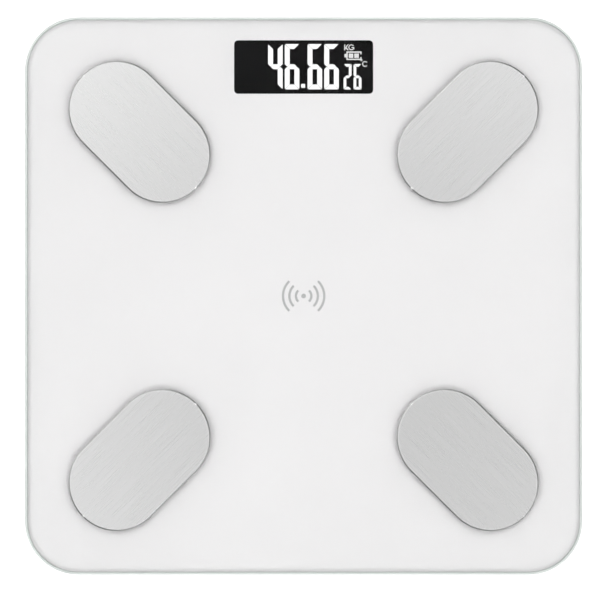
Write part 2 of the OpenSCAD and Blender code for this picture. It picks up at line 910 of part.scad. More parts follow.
module large_outline() {
    for (i = [0:3])
        translate([digit_start + i * digit_pitch + (i > 1 ? point_room : 0), large_y])
            digit_outline(large_reading[i], digit_w, digit_h, digit_stroke);
    translate([digit_start + 1.5 * digit_pitch + point_room / 2 - point_w / 2 - 0.15,
               large_y - digit_h / 2 + point_rise])
        square(point_w);
}

module small_outline() {
    for (i = [0:1])
        translate([small_x + i * small_pitch, small_y])
            digit_outline(small_reading[i], small_w, small_h, small_stroke);
}

// Battery symbol: case, two charge blocks and a nub
symbol_line = 0.6;

module battery_symbol() {
    w = 7.1;
    h = 4;
    difference() {
        translate([-w / 2, -h / 2]) square([w, h]);
        translate([-w / 2 + symbol_line, -h / 2 + symbol_line])
            square([w - 2 * symbol_line, h - 2 * symbol_line]);
        translate([w / 2 - 1, -h / 6]) square([2, h / 3]);
    }
    translate([-w / 2 - 0.9, -0.8]) square([0.9, 1.6]);
    for (x = [-w / 2 + 1.1, -w / 2 + 3.7])
        translate([x, -h / 2 + 1]) square([2.1, h - 2]);
}

// Unit marks, drawn as plain strokes
mark_line = 0.45;

module open_ring(r, opening) {
    difference() {
        circle(r);
        circle(r - mark_line);
        polygon([[0, 0], [2 * r, -2 * r * tan(opening)], [2 * r, 2 * r * tan(opening)]]);
    }
}

module kilogram_mark() {
    h = 2.75;
    square([mark_line, h]);
    polygon([[mark_line, h / 2 - 0.2], [1.5, h], [2.05, h], [mark_line, h / 2 - 0.9]]);
    polygon([[0.9, h / 2 + 0.25], [2.1, 0], [1.5, 0], [0.55, h / 2 - 0.3]]);
    translate([3.3, h / 2]) {
        open_ring(h / 2, 30);
        translate([0.1, -0.35]) square([h / 2 - 0.1, mark_line]);
        translate([h / 2 - mark_line, -h / 2 + 0.4]) square([mark_line, h / 2 - 0.4]);
    }
}

module degree_mark() {
    translate([-1.1, 1.3])
        difference() {
            circle(0.5);
            circle(0.2);
        }
    translate([0.6, -0.5]) open_ring(1.35, 35);
}

module symbol_outline() {
    translate([right_x - 8.95, 5.35]) battery_symbol();
    translate([right_x - 13.5, 7.9]) kilogram_mark();
    translate([right_x - 4.4, 2]) degree_mark();
}

module diffuser(h) {
    translate([0, window_y, display_top - h]) linear_extrude(h) children();
}

module display_frame() {
    color("#1a1a1a")
        difference() {
            translate([0, window_y, board_top]) linear_extrude(display_h)
                rounded_outline(display_w, display_d, 1);
            translate([0, 0, 0.5]) diffuser(diffuser_t + 0.5) {
                large_outline();
                small_outline();
                symbol_outline();
            }
        }
}

module large_digits() {
    color("#ffffff") diffuser(diffuser_t) large_outline();
}

module small_digits() {
    color("#ffffff") diffuser(diffuser_t) small_outline();
}

module display_symbols() {
    color("#d0d0d0") diffuser(diffuser_t) symbol_outline();
}

module display_seal() {
    color("#222222")
        translate([0, window_y, display_top]) linear_extrude(seal_t)
            difference() {
                rounded_outline(display_w, display_d, 1);
                rounded_outline(window_w + 0.6, window_d + 0.6, window_r);
            }
}

pin_r = 0.3;
pin_pitch = 5.08;
pin_places = [for (side = [-1, 1]) for (i = [0:9])
    [(i - 4.5) * pin_pitch, window_y + side * (display_d / 2 - 2.2)]];

module display_pins() {
    color("#c8c3b4")
        for (place = pin_places)
            translate([place[0], place[1], board_z - 1])
                cylinder(h = board_t + 1, r = pin_r, $fn = 24);
}

// ---- Button ----

module tactile_switch() {
    color("#3a3a3a")
        translate([0, button_y, board_z - switch_h])
            difference() {
                translate([-switch_w / 2, -switch_w / 2, 0])
                    cube([switch_w, switch_w, switch_h]);
                translate([0, 0, -1])
                    cylinder(h = switch_h - 0.4 + 1, r = plunger_r + 0.2);
            }
}

button_flange_z = floor_z + still_gap;
button_flange_t = 0.6;
button_top = button_flange_z + button_flange_t;

module switch_plunger() {
    top_z = board_z - 0.4 - button_travel - still_gap;
    color("#101010")
        translate([0, button_y, button_top]) cylinder(h = top_z - button_top, r = plunger_r);
}

module unit_button() {
    color("#8c9092")
        translate([0, button_y, base_gap + 0.8]) {
            rotate_extrude()
                edge_profile(button_r, button_flange_z - base_gap - 0.8, [0, 0], [0.4, 0.4]);
            translate([0, 0, button_flange_z - base_gap - 0.8])
                cylinder(h = button_flange_t, r = button_hole_r + 0.8);
        }
}

// ---- Batteries ----

// The door is drawn from its hinge line, the front lower edge of its opening
door_w = bay_w - 2 * door_gap;
door_d = bay_d - 2 * door_gap;

module battery_door() {
    tab_z = floor_t + still_gap;
    color("#f2f2f0")
        translate([0, bay_front, base_gap])
            difference() {
                union() {
                    translate([-door_w / 2, door_gap, 0]) cube([door_w, door_d, door_t]);
                    for (x = [-1, 1])
                        translate([x * tab_x - tab_w / 2, 0, 0]) {
                            translate([0, door_gap, door_t - embed])
                                cube([tab_w, 1.4, tab_z + tab_t - door_t + embed]);
                            translate([0, -tab_reach, tab_z])
                                cube([tab_w, tab_reach + door_gap + 1.4, tab_t]);
                        }
                    translate([-6, door_gap + door_d - 1.4, door_t - embed])
                        cube([12, 1.2, 1.8 + embed]);
                }
                for (i = [0:3])
                    translate([-7, bay_d - 6 - 1.8 * i, -0.6]) cube([14, 0.8, 1]);
            }
}

// Cells lie along X, and each one is turned end for end from its neighbour
function battery_y(i) = bay_y + (i - (battery_count - 1) / 2) * battery_pitch;
nub_r = 1.9;
nub_l = 0.9;
plate_t = 0.4;
dimple_t = 0.8;
spring_l = contact_room - 2 * plate_t - dimple_t - 0.3;

// Draws along +X, from the spring to the plate, in the place of cell i
module along_battery(i) {
    translate([0, battery_y(i), battery_z])
        mirror([i % 2, 0, 0]) rotate([0, 90, 0]) translate([0, 0, -bay_w / 2]) children();
}

battery_start = plate_t + 0.15 + spring_l;

module battery(i) {
    color(i == 1 ? "#3d3f42" : "#44474a")
        along_battery(i)
            translate([0, 0, battery_start]) {
                edge = 0.4;
                cylinder(h = edge, r1 = battery_r - edge, r2 = battery_r);
                translate([0, 0, edge])
                    cylinder(h = battery_l - nub_l - 2 * edge, r = battery_r);
                translate([0, 0, battery_l - nub_l - edge])
                    cylinder(h = edge, r1 = battery_r, r2 = battery_r - edge);
                translate([0, 0, battery_l - nub_l - 0.2]) cylinder(h = nub_l + 0.2, r = nub_r);
            }
}

module battery_springs() {
    color("#c9ccce")
        for (i = [0:battery_count - 1])
            along_battery(i)
                translate([0, 0, plate_t + 0.3])
                    helix(2.6, 0.3, spring_l - 0.45, 4);
}

module battery_plates() {
    plate_w = battery_pitch - 1.2;
    color("#d2d4d4")
        for (i = [0:battery_count - 1])
            along_battery(i) {
                for (z = [0, bay_w - plate_t])
                    translate([-4, -plate_w / 2, z]) cube([8, plate_w, plate_t]);
                translate([0, 0, bay_w - plate_t - dimple_t])
                    cylinder(h = dimple_t + 0.1, r1 = 1.2, r2 = 2.4);
            }
}

// ---- Wires ----

// The two leads leave the bay under the roof and run straight back to their connector
module battery_wires() {
    color("#b03030")
        for (x = [-1, 1])
            wire([[bay_exit_x + x, bay_y + bay_d / 2 - 0.6, wire_end_z],
                  [bay_exit_x + x, wire_end_y, wire_end_z]], wire_r);
}

module sensor_cable(corner) {
    rear = corner[2] > 0;
    side = corner[1];
    gauge_y = corner[2] * (foot_at + 2.5 - tongue_root);
    run_x = rear ? stud_at - 8 : stud_at + 7;
    turn_y = rear ? board_front - 3.5 : board_front - 7.5;
    end_x = rear ? rear_cable_x : front_cable_x;
    for (i = [0:2]) {
        z = wire_end_z + (i - 1) * wire_pitch;
        start_x = side * (foot_at + (i - 1) * 1.6);
        wire([
            [start_x, gauge_y, sensor_top + gauge_t],
            [start_x, gauge_y, z],
            [side * run_x, gauge_y, z],
            [side * run_x, turn_y, z],
            [side * end_x, turn_y, z],
            [side * end_x, wire_end_y, z],
        ], wire_r);
    }
}

module sensor_wires() {
    color("#d8d8d8")
        for (corner = CORNERS)
            sensor_cable(corner);
}

// The outer two run behind the battery bay, and the inner two run past its sides
module electrode_cable(corner, pin_x) {
    rear = corner[2] > 0;
    side = corner[1];
    z = electrode_cable_z;
    tail_x = side * (stud_at - terminal_r - 2.4);
    pass_x = side * (bay_w / 2 + bay_wall + 14);
    turn_y = rear ? board_front - 2.5 : board_front - 9;
    first = [tail_x, corner[2] * stud_at, z];
    last = [[pin_x, turn_y, z], [pin_x, lead_in_y, wire_end_z], [pin_x, wire_end_y, wire_end_z]];
    wire(concat([first], rear
        ? [[tail_x, turn_y, z]]
        : [[pass_x, corner[2] * stud_at, z], [pass_x, turn_y, z]], last), electrode_wire_r);
}

module electrode_wires() {
    color("#404a55")
        for (i = [0:3])
            electrode_cable(CORNERS[[2, 0, 1, 3][i]],
                            electrode_connector_x + (i - 1.5) * pin_step);
}

// ---- Assembly ----

glass_platform();
back_print();
wireless_icon();
display_filter();
electrode_adhesive();
contact_studs();
contact_nuts();
contact_terminals();
rim_tape();
prop_tape();
bottom_housing();
strain_gauges();
retainer_screws();
main_board();
controller_chip();
amplifier_chip();
wireless_module();
small_components();
wire_connectors();
display_frame();
large_digits();
small_digits();
display_symbols();
display_seal();
display_pins();
board_screws();
tactile_switch();
switch_plunger();
unit_button();
battery_door();
battery_springs();
battery_plates();
battery_wires();
sensor_wires();
electrode_wires();
rating_label();
for (corner = CORNERS) {
    at_corner(corner, electrode_at) electrode();
    at_corner(corner, foot_at) load_cell();
    at_corner(corner, foot_at) retainer();
    at_corner(corner, foot_at) foot_cap();
    at_corner(corner, foot_at) foot_pad();
}
for (i = [1:battery_count])
    battery(i - 1);
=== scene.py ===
import math
import bmesh
import bpy
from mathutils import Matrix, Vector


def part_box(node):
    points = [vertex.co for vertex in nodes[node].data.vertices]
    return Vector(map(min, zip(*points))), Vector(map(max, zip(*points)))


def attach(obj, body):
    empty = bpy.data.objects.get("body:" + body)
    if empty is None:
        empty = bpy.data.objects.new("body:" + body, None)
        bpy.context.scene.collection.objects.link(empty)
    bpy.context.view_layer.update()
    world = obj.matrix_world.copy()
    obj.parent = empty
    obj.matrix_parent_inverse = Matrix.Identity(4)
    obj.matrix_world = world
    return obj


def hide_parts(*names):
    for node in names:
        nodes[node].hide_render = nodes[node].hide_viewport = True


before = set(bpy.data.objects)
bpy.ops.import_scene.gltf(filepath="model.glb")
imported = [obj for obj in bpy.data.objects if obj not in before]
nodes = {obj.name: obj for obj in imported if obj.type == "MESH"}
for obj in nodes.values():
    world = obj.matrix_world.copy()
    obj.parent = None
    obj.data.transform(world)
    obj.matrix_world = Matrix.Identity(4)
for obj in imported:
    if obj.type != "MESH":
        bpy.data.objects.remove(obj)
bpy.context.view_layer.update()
mm = 0.001
corners = {"front_left": (-1, -1), "front_right": (1, -1), "rear_left": (-1, 1), "rear_right": (1, 1)}


def linear(hexColour):
    # sRGB hex to the linear colour that the shaders take
    parts = [int(hexColour[i:i + 2], 16) / 255 for i in (1, 3, 5)]
    return [p / 12.92 if p <= 0.04045 else ((p + 0.055) / 1.055) ** 2.4 for p in parts] + [1.0]


def addNode(tree, kind, inputs=None, **settings):
    # one node with its settings, and a value or a link for each input named
    node = tree.nodes.new(kind)
    for name, value in settings.items():
        setattr(node, name, value)
    for key, value in (inputs or {}).items():
        if isinstance(value, bpy.types.NodeSocket):
            tree.links.new(value, node.inputs[key])
        else:
            node.inputs[key].default_value = value
    return node


# Camera, a long lens straight above the platform, so that its sides are hardly seen
camera = {
    "lens": 200,
    "sensor": 36,
    "frameWidth": 279.8,   # mm of the platform's top that the frame takes in
    "offset": (-1.69, -1.87),   # mm from the platform's middle to the frame's middle
}
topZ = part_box("glass_platform")[1].z
lens = bpy.data.cameras.new("camera")
lens.lens = camera["lens"]
lens.sensor_width = camera["sensor"]
lens.clip_end = 50
cameraObject = bpy.data.objects.new("camera", lens)
bpy.context.scene.collection.objects.link(cameraObject)
distance = camera["frameWidth"] * mm * camera["lens"] / camera["sensor"]
cameraObject.location = (camera["offset"][0] * mm, camera["offset"][1] * mm, topZ + distance)
bpy.context.scene.camera = cameraObject
bpy.context.scene.view_settings.view_transform = "Standard"
print("camera set")


# Light, one broad soft source above in a dim room. It is dark straight above, where the lens looks
# in, and lower down the room is lighter in two opposite corners than in the other two.
studio = {
    "strength": 2.65,
    "aim": (0.025, -0.025, 0.9994),   # the middle of the dark patch, a little to the right front
    "dome": [(0.0, 0.2), (0.6, 0.26), (0.75, 0.7), (0.87, 1.25), (0.965, 1.25), (0.98, 0.5),
             (0.99, 0.03)],   # (sine of the height, brightness)
    "band": [(0.0, 0.1), (0.18, 1.0), (0.37, 1.0), (0.52, 0.0)],
    "bandGain": 0.36,   # how much the right rear and left front darken
    "bandLift": 0.12,   # how much the other two corners lighten
    "sideGain": 0.05,   # the left and rear are lighter than the right and front
    "least": 0.03,
    "floor": "#8f8f8f",
    "floorGlow": 0.3,   # what the floor gives the object
    "floorSeen": 0.86,   # what the lens sees in full shade
    "floorReach": 6.0,   # metres each way
}


def fillRamp(node, stops):
    ramp = node.color_ramp
    while len(ramp.elements) > 1:
        ramp.elements.remove(ramp.elements[-1])
    for i, (place, value) in enumerate(stops):
        element = ramp.elements[0] if i == 0 else ramp.elements.new(place)
        element.position = place
        element.color = (value, value, value, 1)


def makeStudio():
    world = bpy.data.worlds.new("studioDome")
    bpy.context.scene.world = world
    world.use_nodes = True
    tree = world.node_tree
    tree.nodes.clear()
    place = addNode(tree, "ShaderNodeTexCoord")
    split = addNode(tree, "ShaderNodeSeparateXYZ", {"Vector": place.outputs["Generated"]})
    x, y, z = (split.outputs[axis] for axis in "XYZ")
    height = addNode(tree, "ShaderNodeVectorMath", {0: place.outputs["Generated"],
                                                    1: studio["aim"]}, operation="DOT_PRODUCT")
    dome = addNode(tree, "ShaderNodeValToRGB", {"Fac": height.outputs["Value"]})
    fillRamp(dome, studio["dome"])
    band = addNode(tree, "ShaderNodeValToRGB", {"Fac": z})
    fillRamp(band, studio["band"])
    # product is positive toward the right rear and left front, the two corners that are dark
    product = addNode(tree, "ShaderNodeMath", {0: x, 1: y}, operation="MULTIPLY")
    square = addNode(tree, "ShaderNodeMath", {0: z, 1: z}, operation="MULTIPLY")
    # a little over 1, so that straight up doesn't divide by nothing
    flat = addNode(tree, "ShaderNodeMath", {0: 1.001, 1: square.outputs[0]}, operation="SUBTRACT")
    half = addNode(tree, "ShaderNodeMath", {0: product.outputs[0], 1: flat.outputs[0]},
                   operation="DIVIDE")
    gain = addNode(tree, "ShaderNodeMath", {0: half.outputs[0], 1: -studio["bandGain"]},
                   operation="MULTIPLY")
    shade = addNode(tree, "ShaderNodeMath", {0: gain.outputs[0], 1: studio["bandLift"]},
                    operation="MINIMUM")
    lobes = addNode(tree, "ShaderNodeMath", {0: shade.outputs[0], 1: band.outputs["Color"]},
                    operation="MULTIPLY")
    across = addNode(tree, "ShaderNodeMath", {0: y, 1: x}, operation="SUBTRACT")
    side = addNode(tree, "ShaderNodeMath", {0: across.outputs[0], 1: studio["sideGain"],
                                            2: dome.outputs["Color"]}, operation="MULTIPLY_ADD")
    total = addNode(tree, "ShaderNodeMath", {0: side.outputs[0], 1: lobes.outputs[0]},
                    operation="ADD")
    kept = addNode(tree, "ShaderNodeMath", {0: total.outputs[0], 1: studio["least"]},
                   operation="MAXIMUM")
    light = addNode(tree, "ShaderNodeBackground",
                    {"Color": kept.outputs[0], "Strength": studio["strength"]})
    backdrop = addNode(tree, "ShaderNodeBackground", {"Color": (1, 1, 1, 1), "Strength": 1.0})
    rays = addNode(tree, "ShaderNodeLightPath")
    mix = addNode(tree, "ShaderNodeMixShader", {0: rays.outputs["Is Camera Ray"],
                                                1: light.outputs[0], 2: backdrop.outputs[0]})
    addNode(tree, "ShaderNodeOutputWorld", {"Surface": mix.outputs[0]})


def makeFloor():
    # pale paper that glows a little, and is clear when looked at from below
    reach = studio["floorReach"]
    mesh = bpy.data.meshes.new("floor")
    mesh.from_pydata([(-reach, -reach, 0), (reach, -reach, 0), (reach, reach, 0), (-reach, reach, 0)],
                     [], [(0, 1, 2, 3)])
    floor = bpy.data.objects.new("floor", mesh)
    bpy.context.scene.collection.objects.link(floor)
    paper = bpy.data.materials.new("palePaperSweep")
    paper.use_nodes = True
    tree = paper.node_tree
    tree.nodes.clear()
    matt = addNode(tree, "ShaderNodeBsdfDiffuse", {"Color": linear(studio["floor"])})
    rays = addNode(tree, "ShaderNodeLightPath")
    lift = addNode(tree, "ShaderNodeMapRange", {"Value": rays.outputs["Is Camera Ray"],
                                                "To Min": studio["floorGlow"],
                                                "To Max": studio["floorSeen"]})
    glow = addNode(tree, "ShaderNodeEmission", {"Strength": lift.outputs[0]})
    both = addNode(tree, "ShaderNodeAddShader", {0: matt.outputs[0], 1: glow.outputs[0]})
    clear = addNode(tree, "ShaderNodeBsdfTransparent")
    sided = addNode(tree, "ShaderNodeNewGeometry")
    choice = addNode(tree, "ShaderNodeMixShader", {0: sided.outputs["Backfacing"],
                                                   1: both.outputs[0], 2: clear.outputs[0]})
    addNode(tree, "ShaderNodeOutputMaterial", {"Surface": choice.outputs[0]})
    mesh.materials.append(paper)


makeStudio()
makeFloor()
print("studio made")

firstColour, secondColour = 6, 7   # where a Mix node takes its two colours


def newFinish(name, **sockets):
    # a Principled material with these sockets set; returns it, its tree and its shader
    material = bpy.data.materials.new(name)
    material.use_nodes = True
    tree = material.node_tree
    tree.nodes.clear()
    shader = addNode(tree, "ShaderNodeBsdfPrincipled",
                     {key.replace("_", " "): value for key, value in sockets.items()})
    addNode(tree, "ShaderNodeOutputMaterial", {"Surface": shader.outputs[0]})
    return material, tree, shader


def addTexture(tree, shader, finish):
    # colour that drifts, roughness that varies and a fine relief, all from sizes in mm
    place = addNode(tree, "ShaderNodeTexCoord").outputs["Object"]
    grain = addNode(tree, "ShaderNodeTexNoise",
                    {"Vector": place, "Scale": 1 / (finish["grain"] * mm), "Detail": 3.0})
    drift = addNode(tree, "ShaderNodeTexNoise",
                    {"Vector": place, "Scale": 1 / (finish["drift"] * mm), "Detail": 2.0})
    spread = finish["roughSpread"]
    rough = addNode(tree, "ShaderNodeMapRange",
                    {"Value": grain.outputs["Fac"], "From Min": 0.3, "From Max": 0.7,
                     "To Min": finish["roughness"] - spread, "To Max": finish["roughness"] + spread})
    tree.links.new(rough.outputs[0], shader.inputs["Roughness"])
    tone = addNode(tree, "ShaderNodeMix",
                   {"Factor": drift.outputs["Fac"], firstColour: linear(finish["colour"]),
                    secondColour: linear(finish["second"])}, data_type="RGBA")
    tree.links.new(tone.outputs[2], shader.inputs["Base Color"])
    relief = addNode(tree, "ShaderNodeBump",
                     {"Height": grain.outputs["Fac"], "Distance": finish["relief"] * mm,
                      "Strength": 1.0})
    tree.links.new(relief.outputs[0], shader.inputs["Normal"])


# Plain finishes: two close colours, roughness and its spread, and grain, drift and relief in mm
finishes = {
    # fired ceramic ink: even and matt, with a very slight cloudiness
    "ceramicInkWhite": dict(colour="#f6f4f5", second="#f2f0f1", roughness=0.6, roughSpread=0.05,
                            grain=0.4, drift=40, relief=0.002),
    # the same ink with a grey pigment
    "ceramicInkGrey": dict(colour="#bdbdbd", second="#b8b8b8", roughness=0.6, roughSpread=0.05,
                           grain=0.4, drift=6, relief=0.002),
    # acrylic transfer adhesive: pale and a little milky
    "acrylicAdhesive": dict(colour="#d9d9d2", second="#cfcfc8", roughness=0.4, roughSpread=0.1,
                            grain=0.8, drift=5, relief=0.02),
    # closed-cell foam tape: dark, with a cell texture that takes the shine away
    "foamTape": dict(colour="#242424", second="#2c2c2c", roughness=0.9, roughSpread=0.05,
                     grain=0.5, drift=4, relief=0.12),
    # moulded ABS with a spark-eroded face: soft broken highlights
    "sparkErodedAbs": dict(colour="#f0f0ee", second="#ebebe9", roughness=0.46, roughSpread=0.08,
                           grain=0.35, drift=60, relief=0.018),
    # moulded POM: white, slightly waxy and smoother than the ABS
    "mouldedAcetal": dict(colour="#ecece6", second="#e6e6df", roughness=0.35, roughSpread=0.05,
                          grain=0.6, drift=12, relief=0.006),
    # moulded thermoplastic rubber: grey and matt, with a dry bloom
    "softRubber": dict(colour="#55585a", second="#4d5052", roughness=0.78, roughSpread=0.08,
                       grain=0.3, drift=5, relief=0.03),
    # silicone sealant over the gauges: white and smooth with a skin
    "siliconeSealant": dict(colour="#f0f0ec", second="#e2e2dc", roughness=0.3, roughSpread=0.08,
                            grain=1.2, drift=2, relief=0.08),
    # glass-filled epoxy of the chips: black, with a fine matt face
    "chipEpoxy": dict(colour="#1d1e1f", second="#232425", roughness=0.55, roughSpread=0.08,
                      grain=0.15, drift=2, relief=0.008),
    # aluminium cans and sleeves of the small parts: dull and slightly uneven
    "componentBody": dict(colour="#7c786e", second="#8b877c", roughness=0.42, roughSpread=0.1,
                          grain=0.5, drift=2, relief=0.01),
    # natural nylon connector housings: cream and half glossy
    "connectorNylon": dict(colour="#ece6d2", second="#e3dcc6", roughness=0.38, roughSpread=0.06,
                           grain=0.5, drift=4, relief=0.01),
    # black polycarbonate round the lit bars: dark enough to hide the bars that are off
    "blackPolycarbonate": dict(colour="#0e0e0e", second="#121212", roughness=0.6, roughSpread=0.05,
                               grain=0.2, drift=6, relief=0.006),
    # grey ABS key: a fine satin face
    "greyKeyAbs": dict(colour="#83878a", second="#7c8083", roughness=0.42, roughSpread=0.06,
                       grain=0.3, drift=5, relief=0.012),
    # printed polypropylene label: pale, smooth and faintly orange-peeled
    "labelFilm": dict(colour="#dfe1e2", second="#d9dbdc", roughness=0.32, roughSpread=0.04,
                      grain=1.5, drift=14, relief=0.004),
    # soft PVC wire sleeves: even colour and a low shine
    "redPvcSleeve": dict(colour="#a62a2a", second="#9c2525", roughness=0.4, roughSpread=0.06,
                         grain=0.6, drift=3, relief=0.006),
    "palePvcSleeve": dict(colour="#d6d6d2", second="#ccccc8", roughness=0.4, roughSpread=0.06,
                          grain=0.6, drift=5, relief=0.006),
    "darkPvcSleeve": dict(colour="#3a444f", second="#343d47", roughness=0.4, roughSpread=0.06,
                          grain=0.6, drift=3, relief=0.006),
    # printed shrink sleeve of the cells: dark and smooth, with a slight ripple
    "cellSleeve": dict(colour="#33363a", second="#3c4044", roughness=0.28, roughSpread=0.05,
                       grain=1.8, drift=8, relief=0.02),
}
materials = {}
for name, finish in finishes.items():
    materials[name], tree, shader = newFinish(name, Roughness=finish["roughness"])
    addTexture(tree, shader, finish)

# Metals, each with its plating's colour and the marks of how it was made
metalFinishes = {
    # stamped spring steel, zinc plated: grey with a faint cloudy bloom
    "zincPlatedSpringSteel": dict(colour="#b4b8bb", second="#a6abb0", roughness=0.38,
                                  roughSpread=0.08, grain=0.25, drift=5, relief=0.006),
    # bright nickel on studs, nuts and battery contacts: warm white and smooth
    "brightNickel": dict(colour="#cfc9bd", second="#c4beb1", roughness=0.22, roughSpread=0.06,
                         grain=0.3, drift=3, relief=0.003),
    # zinc on the small screws: grey, with a soft shine
    "zincPlatedScrew": dict(colour="#a5a9ad", second="#989ca1", roughness=0.3, roughSpread=0.08,
                            grain=0.2, drift=1.5, relief=0.004),
    # hot tinned pins: pale, with small blobs in the coating
    "tinnedBrass": dict(colour="#c9c6bd", second="#bdb9ad", roughness=0.3, roughSpread=0.1,
                        grain=0.25, drift=1, relief=0.02),
}
for name, finish in metalFinishes.items():
    materials[name], tree, shader = newFinish(name, Metallic=1.0, Roughness=finish["roughness"])
    addTexture(tree, shader, finish)


# Toughened float glass: clear and polished, and green only where it is seen through its edge
glassFinish = {
    "ior": 1.52,
    "tint": (0.39, 0.8, 0.62),   # red is taken out first and green last
    "density": 2.2,              # per metre, so that 5 mm of it has hardly any colour
    "wave": 45,                  # mm between the slight swells that toughening leaves
    "waveHeight": 0.0015,        # mm
}


def makeGlass():
    material, tree, shader = newFinish(
        "toughenedFloatGlass", Base_Color=(1, 1, 1, 1), Roughness=0.0, IOR=glassFinish["ior"],
        Transmission_Weight=1.0)
    place = addNode(tree, "ShaderNodeTexCoord").outputs["Object"]
    wave = addNode(tree, "ShaderNodeTexNoise",
                   {"Vector": place, "Scale": 1 / (glassFinish["wave"] * mm), "Detail": 1.0})
    bump = addNode(tree, "ShaderNodeBump",
                   {"Height": wave.outputs["Fac"], "Distance": glassFinish["waveHeight"] * mm,
                    "Strength": 1.0})
    tree.links.new(bump.outputs[0], shader.inputs["Normal"])
    body = addNode(tree, "ShaderNodeVolumeAbsorption",
                   {"Color": (*glassFinish["tint"], 1), "Density": glassFinish["density"]})
    output = [n for n in tree.nodes if n.type == "OUTPUT_MATERIAL"][0]
    tree.links.new(body.outputs[0], output.inputs["Volume"])
    return material


# The same glass where its edge is ground and half polished: light comes out of it softly, pale green
groundFinish = {"colour": "#d3d9d6", "second": "#cad2ce", "roughness": 0.34, "roughSpread": 0.05,
                "grain": 0.3, "drift": 20, "relief": 0.004, "clear": 0.45}


def makeGroundEdge():
    material, tree, shader = newFinish(
        "groundGlassEdge", Roughness=groundFinish["roughness"], IOR=glassFinish["ior"],
        Transmission_Weight=groundFinish["clear"])
    addTexture(tree, shader, groundFinish)
    return material


# Smoked polyester film: nearly black, and lets the lit bars through at a little under half strength.
# It is bonded to the glass, so it has no shine of its own.
filmFinish = {"colour": "#101011", "second": "#141415", "alpha": 0.55, "roughness": 0.2,
              "cloud": 9}


def makeFilm():
    material, tree, shader = newFinish(
        "smokedPolyester", Roughness=filmFinish["roughness"], Alpha=filmFinish["alpha"],
        Specular_IOR_Level=0.0)
    place = addNode(tree, "ShaderNodeTexCoord").outputs["Object"]
    cloud = addNode(tree, "ShaderNodeTexNoise",
                    {"Vector": place, "Scale": 1 / (filmFinish["cloud"] * mm), "Detail": 2.0})
    tone = addNode(tree, "ShaderNodeMix",
                   {"Factor": cloud.outputs["Fac"], firstColour: linear(filmFinish["colour"]),
                    secondColour: linear(filmFinish["second"])}, data_type="RGBA")
    tree.links.new(tone.outputs[2], shader.inputs["Base Color"])
    return material


# Diffuser epoxy lit from behind: even light that falls off a little across each bar
litFinishes = {
    "litWhiteEpoxy": dict(colour="#ffffff", strength=6.0, cloud=3),
    "litGreyEpoxy": dict(colour="#ffffff", strength=4.2, cloud=3),
}


def makeLit(name, finish):
    material, tree, shader = newFinish(
        name, Base_Color=linear("#d8d8d8"), Roughness=0.5, Emission_Color=linear(finish["colour"]))
    place = addNode(tree, "ShaderNodeTexCoord").outputs["Object"]
    cloud = addNode(tree, "ShaderNodeTexNoise",
                    {"Vector": place, "Scale": 1 / (finish["cloud"] * mm), "Detail": 1.0})
    glow = addNode(tree, "ShaderNodeMapRange",
                   {"Value": cloud.outputs["Fac"], "To Min": finish["strength"] * 0.9,
                    "To Max": finish["strength"] * 1.1})
    tree.links.new(glow.outputs[0], shader.inputs["Emission Strength"])
    return material


# Stainless sheet, cold rolled and given a fine line grain along each plate: a satin face that
# holds a soft reflection, streaked lightly one way
steelFinish = {
    "colour": "#c2c2c2", "second": "#bcbcbc", "roughness": 0.28, "roughSpread": 0.012,
    "grainWidth": 0.25,   # mm, about twice the real scratch, so that it still shows
    "grainLength": 30,    # mm
    "relief": 0.00005,    # mm
}


def makeSteel():
    material, tree, shader = newFinish("lineGrainStainless", Metallic=1.0,
                                       Roughness=steelFinish["roughness"])
    along = addNode(tree, "ShaderNodeAttribute", attribute_name="grain").outputs["Vector"]
    stretched = addNode(tree, "ShaderNodeMapping",
                        {"Vector": along, "Scale": (1 / (steelFinish["grainLength"] * mm),
                                                    1 / (steelFinish["grainWidth"] * mm), 0)})
    lines = addNode(tree, "ShaderNodeTexNoise",
                    {"Vector": stretched.outputs[0], "Scale": 1.0, "Detail": 3.0})
    rough = addNode(tree, "ShaderNodeMapRange",
                    {"Value": lines.outputs["Fac"], "From Min": 0.3, "From Max": 0.7,
                     "To Min": steelFinish["roughness"] - steelFinish["roughSpread"],
                     "To Max": steelFinish["roughness"] + steelFinish["roughSpread"]})
    tree.links.new(rough.outputs[0], shader.inputs["Roughness"])
    tone = addNode(tree, "ShaderNodeMix",
                   {"Factor": lines.outputs["Fac"], firstColour: linear(steelFinish["colour"]),
                    secondColour: linear(steelFinish["second"])}, data_type="RGBA")
    tree.links.new(tone.outputs[2], shader.inputs["Base Color"])
    bump = addNode(tree, "ShaderNodeBump",
                   {"Height": lines.outputs["Fac"], "Distance": steelFinish["relief"] * mm,
                    "Strength": 1.0})
    tree.links.new(bump.outputs[0], shader.inputs["Normal"])
    return material


# Glass-epoxy board under a solder mask: the weave shows faintly through the colour
laminate = {
    "thread": 0.9,   # mm between threads
    "wander": 0.6,
    "relief": 0.01,  # mm
    "roughness": 0.32,
    "boards": {"greenLaminate": ("#1f5a37", "#256741"), "blueLaminate": ("#1e4568", "#265277")},
}


